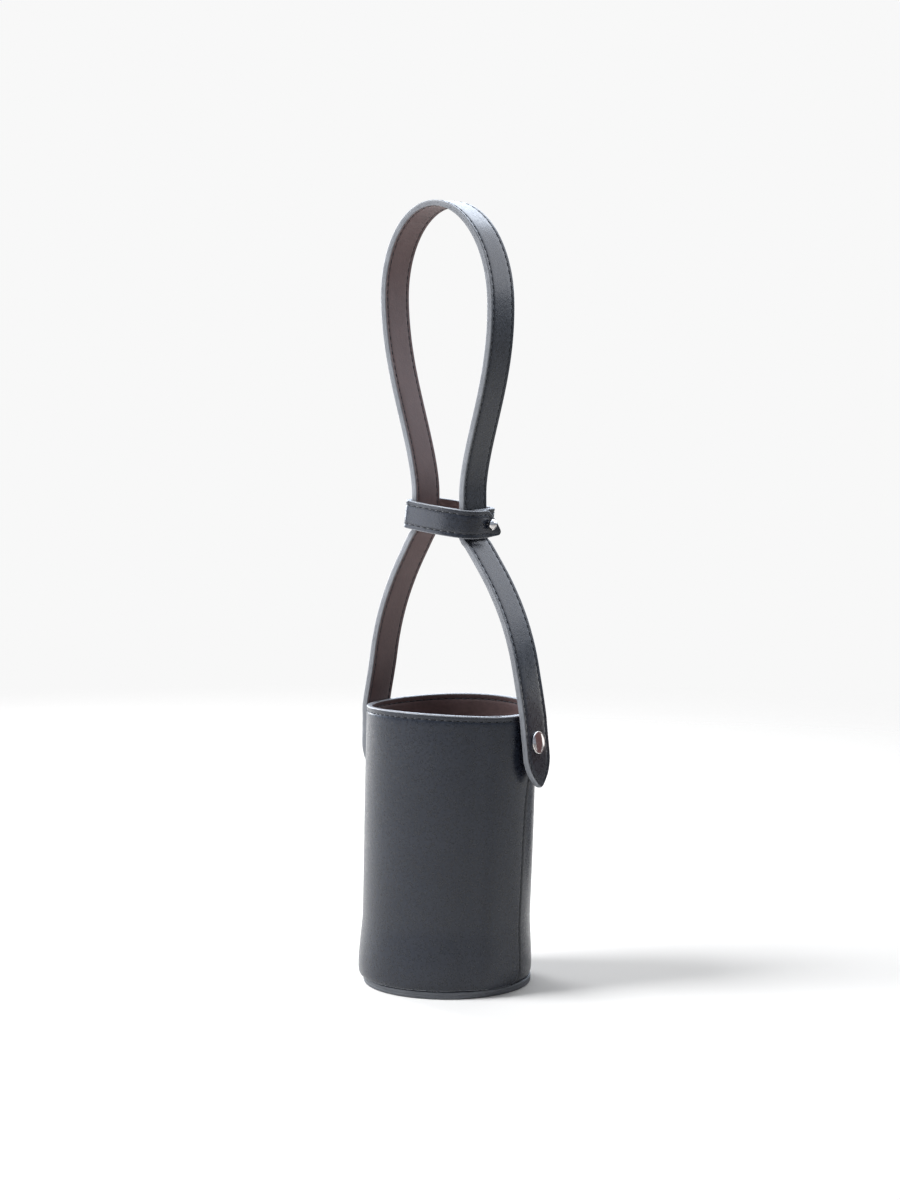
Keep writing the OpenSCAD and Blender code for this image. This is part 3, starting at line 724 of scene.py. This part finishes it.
def taperTongues(piece):
    points = readPoints(piece)
    along, across = points[:, 0].copy(), points[:, 1].copy()
    points[:, 1] = np.sign(across) * tongueHalf(along, strapHalf - np.abs(across))
    # the end curves back from its middle to a round nose
    share = across / strap["width"] * 2
    back = strap["noseDepth"] * (1 - np.sqrt(1 - strap["noseRound"] * share ** 2))
    for end, sign in ((0, 1), (strapRoute.length, -1)):
        points[:, 0] += sign * back * np.clip(1 - np.abs(along - end) / strap["noseFade"], 0, 1)
    writePoints(piece, points)


def strapInset(points):
    half = strapHalf * tongueShare(points[:, 0])
    return (half - np.abs(points[:, 1])) / np.minimum(1, half / strap["spreadHalf"])


strapBlank = {"length": strapRoute.length, "width": strap["width"], "columns": 300, "rows": 7,
              "cutsAlong": tongueCuts + [strapRoute.length - d for d in tongueCuts],
              "cutsAcross": bothEdges(strap["width"], seamCuts)}


def strapLayer(name, top, thickness, material, side):
    # one layer of the strap; only the edge that shows is rounded
    layer = flatBlank(name, strapBlank, [material, greyEdgePaint])
    taperTongues(layer)
    makeUp(layer, thickness, side, radius=0.5, seams=[(strapInset, strapSeam)])
    bend(layer, lambda points: strapPlace(points + [0, 0, top]))
    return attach(layer, "handle")


handleLeather = strapLayer("handleLeather", strapLayers / 2, strap["leather"], blackLeather, 1)
handleLining = strapLayer("handleLining", strapLayers / 2 - strap["leather"] - strap["glue"], strap["lining"],
                          brownLining, -1)
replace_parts(handleLeather, "handle_outer")
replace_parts(handleLining, "handle_lining")


def strapSpots(side):
    start = strapSeam["start"]
    sewnLength = strapRoute.length - 2 * start
    count = int(sewnLength / stitchSize["pitch"])
    spots = []
    for k in range(count + 1):
        x = start + k * sewnLength / count
        before, here, after = (side * float(tongueHalf(x + d, strapSeam["inset"])) for d in headingSteps)
        spots.append((x, here, math.atan2(after - before, 1)))
    return spots


for side, edge in ((-1, "Back"), (1, "Front")):
    spots, face = strapSpots(side), strapLayers / 2
    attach(sewRow("strapStitches" + edge, spots, face, 1, strapSeam, strapPlace), "handle")
    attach(sewRow("strapStitchesInside" + edge, spots, -face, -1, strapSeam, strapPlace), "handle")
print("the handle is lined, edged and stitched")

# Rivets: a domed cap with a rolled rim on each strap
rivet = {"radius": 6, "rim": 0.85, "domeRadius": 5.3, "dome": 0.5, "domeFoot": 0.96, "gap": 0.05}
# The rolled rim: millimetres in from its edge, then share of its height. The dome: shares of its radius.
rolledRim = [(0.55, 0), (0.18, 0.06), (0.02, 0.3), (0, 0.5), (0.06, 0.72), (0.2, 0.91), (0.42, 1),
             (0.62, 0.98)]
domeRings = (1, 0.97, 0.93, 0.86, 0.77, 0.66, 0.54, 0.41, 0.27, 0.13, 0.03)


def rivetProfile():
    rolled = [(rivet["radius"] - inwards, rivet["rim"] * share) for inwards, share in rolledRim]
    curve = (rivet["domeRadius"] ** 2 + rivet["dome"] ** 2) / (2 * rivet["dome"])
    foot = rivet["rim"] * rivet["domeFoot"]
    ring = [rivet["domeRadius"] * k for k in domeRings]
    return rolled + [(k, foot + math.sqrt(curve**2 - k**2) - curve + rivet["dome"]) for k in ring]


for name, sign, inner in (("right", 1, rightStrap), ("left", -1, leftStrap)):
    # the cap lies flat on its slanting strap
    slant = math.radians(strap[name + "Slant"])
    x = inner + sign * (strapLayers / math.cos(slant) + rivet["gap"])
    cap = turned(name + "RivetCap", rivetProfile(), 64, nickelPlate)
    lying = Matrix.Rotation(sign * (math.pi / 2 - slant), 4, "Y")
    seat(cap, Matrix.Translation((x, 0, rivetHeight)) @ lying, smoothAngle=60)
    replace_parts(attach(cap, "handle"), name + "_rivet_cap")
for name in ("right_rivet_post", "left_rivet_post", "stud_screw"):
    giveCoat(name, nickelPlate)
print("the rivets are set")

# The collar: a strip that wraps the straps and comes round its front corner to button on its own right side
collarLayers = collar["leather"] + strap["glue"] + collar["lining"]
buttonLevel = collarSide + collarLayers + stud["footThickness"] + strap["gap"]
# Front corner, from the side to the middle: shares of the side, of the strap's half width and of the bow
cornerShares = [(1, 0.62, 0), (1, 1, 0), (0.885, 1, 0.48), (0.45, 1, 0.88), (0, 1, 0.97)]


def collarRoute():
    corner = [(collarSide * a, strapHalf * b + collar["bow"] * c) for a, b, c in cornerShares]
    knots = [(collarSide, -strapHalf * collar["underShare"]), (collarSide, 0)] + corner
    knots += [(-corner[i][0], corner[i][1]) for i in (3, 2, 1, 0)] + [(-collarSide, 0)]
    knots += [(-corner[i][0], -corner[i][1]) for i in (0, 1, 2, 3, 4)]
    knots += [(corner[i][0], -corner[i][1]) for i in (3, 2)]
    knots += [(mixed(corner[1][0], buttonLevel, collar["climbShare"]), -corner[1][1])]
    knots += [(buttonLevel, -corner[0][1]), (buttonLevel, 0)]
    knots += [(buttonLevel + collar["lift"] * collar["liftStart"], collar["reach"] / 2),
              (buttonLevel + collar["lift"], collar["reach"])]
    route = Route(curveThrough(knots, routeSteps))
    # counted from the end, the knots at the front's middle, where the end strip starts, and at the button
    front, button = (route.along[(len(knots) - 1 - fromEnd) * routeSteps] for fromEnd in (7, 2))
    return route, front, button


collarLine, bandLength, buttonMiddle = collarRoute()
collarTurn = Matrix.Translation((collar["shift"], 0, collar["height"])) @ Matrix.Rotation(tilt, 4, "Y")


def inCollar(points):
    turn = np.array(collarTurn)
    return points @ turn[:3, :3].T + turn[:3, 3]


def collarPlace(points):
    x, y = collarLine.at(points[:, 0], points[:, 2])
    return inCollar(np.stack([x, y, points[:, 1]], axis=1))


def endPlace(points):
    return collarPlace(points + [bandLength, 0, 0])


collarSeam = {"inset": 2.4, "depth": 0.24, "spread": 0.65, "startGap": 3, "bandGap": 1, "tipGap": 5}
collarCuts = bothEdges(collar["width"], (0.7, 1.15, 1.6, 2.0, 2.4, 2.8, 3.3, 3.9))
bandBlank = {"length": bandLength, "width": collar["width"], "columns": 110, "rows": 5,
             "cutsAcross": collarCuts}
endLength = collarLine.length - bandLength
endCuts = [endLength - d for d in (0.1, 0.3, 0.6, 1, 1.5, 2.1, 2.8)]
endBlank = {"length": endLength, "width": collar["width"], "columns": 46, "rows": 5, "cutsAlong": endCuts,
            "cutsAcross": collarCuts}
# Outline of the buttoned end: distance along from the collar's middle as a share of its reach, then the
# heights of its upper and lower edges as shares of the collar's width
endOutline = [(-0.9, 0.5, -0.5), (-0.5, 0.5, -0.5), (-0.15, 0.5, -0.5), (0, 0.497, -0.5),
              (0.16, 0.45, -0.498), (0.37, 0.335, -0.485), (0.57, 0.22, -0.465), (0.75, 0.07, -0.435),
              (0.9, -0.095, -0.41), (0.97, -0.19, -0.37), (1, -0.285, -0.285)]


def edgeHeights(along):
    # upper and lower edge of the end at a distance along its blank
    tipFrom = endLength - along
    share = 1 - tipFrom / collar["reach"]
    knots = np.array(endOutline)
    smooth = curveThrough(knots[:, :2], 12), curveThrough(knots[:, ::2], 12)
    return [np.interp(share, edge[:, 0], edge[:, 1]) * collar["width"] for edge in smooth]


def shapeEnd(piece):
    points = readPoints(piece)
    high, low = edgeHeights(points[:, 0])
    points[:, 1] = mixed(low, high, points[:, 1] / collar["width"] + 0.5)
    writePoints(piece, points)


def punchButtonHole(layer):
    # a round hole for the stud's neck, and the slit that lets its head through
    along = buttonMiddle - bandLength + stud["offset"]
    bpy.ops.object.select_all(action="DESELECT")
    bpy.ops.mesh.primitive_cylinder_add(vertices=40, radius=stud["neck"] / 2 + stud["holePlay"],
                                        depth=stud["punchReach"], location=(along, 0, 0))
    punch(layer, bpy.context.object)
    bpy.ops.object.select_all(action="DESELECT")
    bpy.ops.mesh.primitive_cube_add(size=1, location=(along - stud["slitLength"] / 2, 0, 0))
    bpy.context.object.scale = (stud["slitLength"], stud["slitWidth"], stud["punchReach"])
    bpy.ops.object.transform_apply(location=False, rotation=False, scale=True)
    punch(layer, bpy.context.object)


def bandInset(points):
    return collar["width"] / 2 - np.abs(points[:, 1])


def endInset(points):
    high, low = edgeHeights(points[:, 0])
    share = (points[:, 1] - low) / np.maximum(high - low, closeMm)
    return collar["width"] * np.minimum(share, 1 - share)


def collarLayer(name, part, coat):
    # one layer of the band or of the buttoned end; a butt end, where the two meet, isn't rounded
    isEnd = part["blank"] is endBlank
    layer = flatBlank(name, part["blank"], [coat["material"], greyEdgePaint])
    if isEnd:
        shapeEnd(layer)
    makeUp(layer, coat["thickness"], coat["side"], radius=0.42, seams=[(part["inset"], collarSeam)],
           skipEnd=part["butt"])
    if isEnd:
        punchButtonHole(layer)
    bend(layer, lambda points: part["place"](points + [0, 0, coat["top"]]))
    return layer


bandPart = {"blank": bandBlank, "inset": bandInset, "place": collarPlace, "butt": bandLength}
endPart = {"blank": endBlank, "inset": endInset, "place": endPlace, "butt": 0}
outerCoat = {"top": collarLayers, "thickness": collar["leather"], "material": blackLeather, "side": 1}
innerCoat = {"top": collar["lining"], "thickness": collar["lining"], "material": brownLining, "side": -1}
bandLeather = collarLayer("collarLeather", bandPart, outerCoat)
bandLining = collarLayer("collarLining", bandPart, innerCoat)
endLeather = collarLayer("buttonEndLeather", endPart, outerCoat)
endLining = collarLayer("buttonEndLining", endPart, innerCoat)


for layer, node, slot in ((endLeather, "collar_button_end", "outer_leather"),
                          (endLining, "collar_button_end_lining", "lining_leather")):
    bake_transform(layer)
    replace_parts(layer, node)
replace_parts(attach(bandLeather, "collar"), "collar_band")
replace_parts(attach(bandLining, "collar"), "collar_band_lining")

for side, edge in ((-1, "Low"), (1, "High")):
    row = side * (collar["width"] / 2 - collarSeam["inset"])
    spots = evenSpots(collarSeam["startGap"], bandLength - collarSeam["bandGap"], row)
    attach(sewRow("collarStitches" + edge, spots, collarLayers, 1, collarSeam, collarPlace), "collar")
    endSpots = []
    first = spots[-1][0] + stitchSize["pitch"] - bandLength
    for x in np.arange(first, endLength - collarSeam["tipGap"], stitchSize["pitch"]):
        heights = [edgeHeights(np.array([x + d])) for d in headingSteps]
        share = collarSeam["inset"] / collar["width"]
        ys = [float(mixed(h[1], h[0], 1 - share if side > 0 else share)[0]) for h in heights]
        endSpots.append((x, ys[1], math.atan2(ys[2] - ys[0], 1)))
    sewn = sewRow("buttonEndStitches" + edge, endSpots, collarLayers, 1, collarSeam, endPlace)
    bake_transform(sewn)
print("the collar is wrapped and stitched")


def studProfile():
    head, depth, neck, foot = (stud[k] / 2 for k in ("head", "headDepth", "neck", "foot"))
    thick, low, high = stud["footThickness"], stud["lowRound"], stud["highRound"]
    neckTop = thick + 2 * strap["gap"] + collarLayers
    start = math.asin(neck / head)
    centre = neckTop + depth * math.cos(start)
    ball = [(head * math.sin(a), centre - depth * math.cos(a)) for a in np.linspace(start + 0.05, 3.07, 26)]
    # the foot with its rounded edges, then the fillet up to the neck
    base = [(foot - low, 0), (foot, low), (foot, thick - high), (foot - high, thick),
            (neck + 0.25, thick + 0.02), (neck, thick + 0.3)]
    return base + [(neck, neckTop - 0.1)] + ball


studSeat = collarSide + collarLayers + strap["glue"]
studPiece = turned("buttonStud", studProfile(), 56, nickelPlate)
studPlace = collarTurn @ Matrix.Translation((studSeat, stud["offset"], 0))
seat(studPiece, studPlace @ Matrix.Rotation(math.pi / 2, 4, "Y"))
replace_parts(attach(studPiece, "collar"), "stud_body")
bpy.data.objects.remove(stitchPattern)
print("the stud is screwed on")

# Stage, light and camera
stage = {"floor": "#f4f4f4", "backdrop": "#f8f8f8", "lift": 0.06, "fade": (0.42, 1.3), "fill": 0.27,
         "front": 0.46, "behind": 3.6, "cool": (0.82, 0.93, 1.1, 1), "windows": (-0.15, -0.65, 0.75),
         "windowEdge": (0.24, 0.74)}


def floorMaterial():
    # pale paper that runs out into the backdrop without a seam
    material, tree = newMaterial("paleFloor")
    path = addNode(tree, "ShaderNodeLightPath")
    matt = addNode(tree, "ShaderNodeBsdfDiffuse", {"Color": linearColour(stage["floor"])})
    lift = addNode(tree, "ShaderNodeEmission", {"Color": (1, 1, 1, 1), "Strength": stage["lift"]})
    both = addNode(tree, "ShaderNodeAddShader", None, {0: matt.outputs[0], 1: lift.outputs[0]})
    away = addNode(tree, "ShaderNodeVectorMath", {"operation": "LENGTH"},
                   {0: addNode(tree, "ShaderNodeTexCoord").outputs["Object"]})
    fade = ranged(tree, away.outputs["Value"], *stage["fade"], curve="SMOOTHSTEP")
    gone = addNode(tree, "ShaderNodeBsdfTransparent")
    seen = mixedShader(tree, fade, both.outputs[0], gone.outputs[0])
    output(tree, mixedShader(tree, path.outputs["Is Camera Ray"], matt.outputs[0], seen))
    return material


bpy.ops.object.select_all(action="DESELECT")
bpy.ops.mesh.primitive_plane_add(size=14, location=(0, 0, 0))
floor = startPiece("floor", [floorMaterial()])

camera = {"azimuth": 33, "distance": 1.375, "height": 0.34, "pitch": 5.5, "focalPixels": 2571,
          "axisPixel": 446.8, "imageWidth": 900, "imageHeight": 1200, "sensor": 36}
around = math.radians(camera["azimuth"])
towards = Vector((math.sin(around), -math.cos(around), 0))  # from the carrier to the camera
right = Vector((math.cos(around), math.sin(around), 0))


def studioPoint(place):
    # a place given to the right, towards the camera and up
    return place[0] * right + place[1] * towards + Vector((0, 0, place[2]))


def studioWorld():
    # the camera sees the white backdrop; gloss sees bright windows high behind and a dim room in front
    world = bpy.data.worlds.new("paleStudio")
    bpy.context.scene.world = world
    world.use_nodes = True
    tree = world.node_tree
    tree.nodes.clear()
    path = addNode(tree, "ShaderNodeLightPath")
    bright = studioPoint(stage["windows"]).normalized()
    side = addNode(tree, "ShaderNodeVectorMath", {"operation": "DOT_PRODUCT", 1: bright},
                   {0: addNode(tree, "ShaderNodeTexCoord").outputs["Generated"]})
    dim = ranged(tree, side.outputs["Value"], *stage["windowEdge"], stage["front"], stage["behind"],
                 "SMOOTHSTEP")
    fill = addNode(tree, "ShaderNodeBackground", {"Color": (0.96, 0.98, 1, 1), "Strength": stage["fill"]})
    gloss = addNode(tree, "ShaderNodeBackground", {"Color": stage["cool"]}, {"Strength": dim})
    shown = addNode(tree, "ShaderNodeBackground", {"Color": linearColour(stage["backdrop"]), "Strength": 1})
    clear = addNode(tree, "ShaderNodeMath", {"operation": "MAXIMUM"},
                    {0: path.outputs["Is Camera Ray"], 1: path.outputs["Is Transmission Ray"]})
    lit = mixedShader(tree, path.outputs["Is Glossy Ray"], fill.outputs[0], gloss.outputs[0])
    output(tree, mixedShader(tree, clear.outputs[0], lit, shown.outputs[0]), "ShaderNodeOutputWorld")


studioWorld()


def lookAt(thing, target):
    thing.rotation_euler = (Vector(target) - thing.location).to_track_quat("-Z", "Y").to_euler()


def softbox(name, place, target, size, power):
    bpy.ops.object.select_all(action="DESELECT")
    bpy.ops.object.light_add(type="AREA", location=studioPoint(place))
    lamp = bpy.context.object
    lamp.name = name
    lamp.data.shape = "RECTANGLE"
    lamp.data.size, lamp.data.size_y = size
    lamp.data.energy = power
    lookAt(lamp, target)


softbox("windowLeft", (-1.2, 0.25, 1.4), (0, 0, 0.12), (0.75, 0.75), 36)
softbox("glowBehindLeft", (-0.96, -1.3, 0.75), (0, 0, 0.15), (0.65, 1.3), 17)
softbox("overheadBack", (0.1, -1, 1.35), (0, 0, 0.35), (1.6, 0.8), 8)


def glossCard(name, place, target, size, colour, strength):
    # a round card that only the gloss of the metal and the leather sees
    bpy.ops.object.select_all(action="DESELECT")
    bpy.ops.mesh.primitive_circle_add(vertices=48, radius=0.5, fill_type="NGON",
                                      location=studioPoint(place))
    material, tree = newMaterial(name)
    glow = addNode(tree, "ShaderNodeEmission", {"Color": linearColour(colour), "Strength": strength})
    output(tree, glow.outputs[0])
    card = startPiece(name, [material])
    card.scale = (*size, 1)
    lookAt(card, studioPoint(target))
    card.visible_camera = card.visible_diffuse = card.visible_shadow = False


# Places as the camera has them: to the right, towards it, and up
rivetSeen = (0.0474, 0.0308, 0.135)
collarSeen = (-0.0085, 0.016, 0.252)
# A brown card and a pale one on the right, which the right rivet's cap mirrors
glossCard("brownCard", (0.1018, 0.0101, 0.1390), rivetSeen, (0.030, 0.056), "#715859", 1)
glossCard("paleCard", (0.0944, -0.0192, 0.150), rivetSeen, (0.04, 0.06), "#ffffff", 1.7)
# A window high on the right, a glow for the collar's front, and shade where the sleeve turns away
glossCard("windowHighRight", (0.91, -0.41, 0.75), (0, 0, 0.2), (1.3, 0.7), "#f2f6ff", 2.5)
glossCard("collarGlow", (-0.1265, 0.037, 0.246), collarSeen, (0.12, 0.10), "#f2f6ff", 3.8)
glossCard("seamShade", (0.192, -0.161, 0.09), (0.03, 0, 0.1), (0.15, 0.2), "#8c8e92", 1)

cameraData = bpy.data.cameras.new("photoCamera")
cameraObject = bpy.data.objects.new("photoCamera", cameraData)
bpy.context.scene.collection.objects.link(cameraObject)
cameraData.sensor_width = camera["sensor"]
cameraData.lens = camera["focalPixels"] / camera["imageHeight"] * camera["sensor"]
cameraObject.location = camera["distance"] * towards + Vector((0, 0, camera["height"]))
aside = math.atan((camera["imageWidth"] / 2 - camera["axisPixel"]) / camera["focalPixels"])
cameraObject.rotation_euler = (math.radians(90 - camera["pitch"]), 0, around - aside)
bpy.context.scene.camera = cameraObject
bpy.context.scene.view_settings.view_transform = "Standard"
print("the stage is lit")
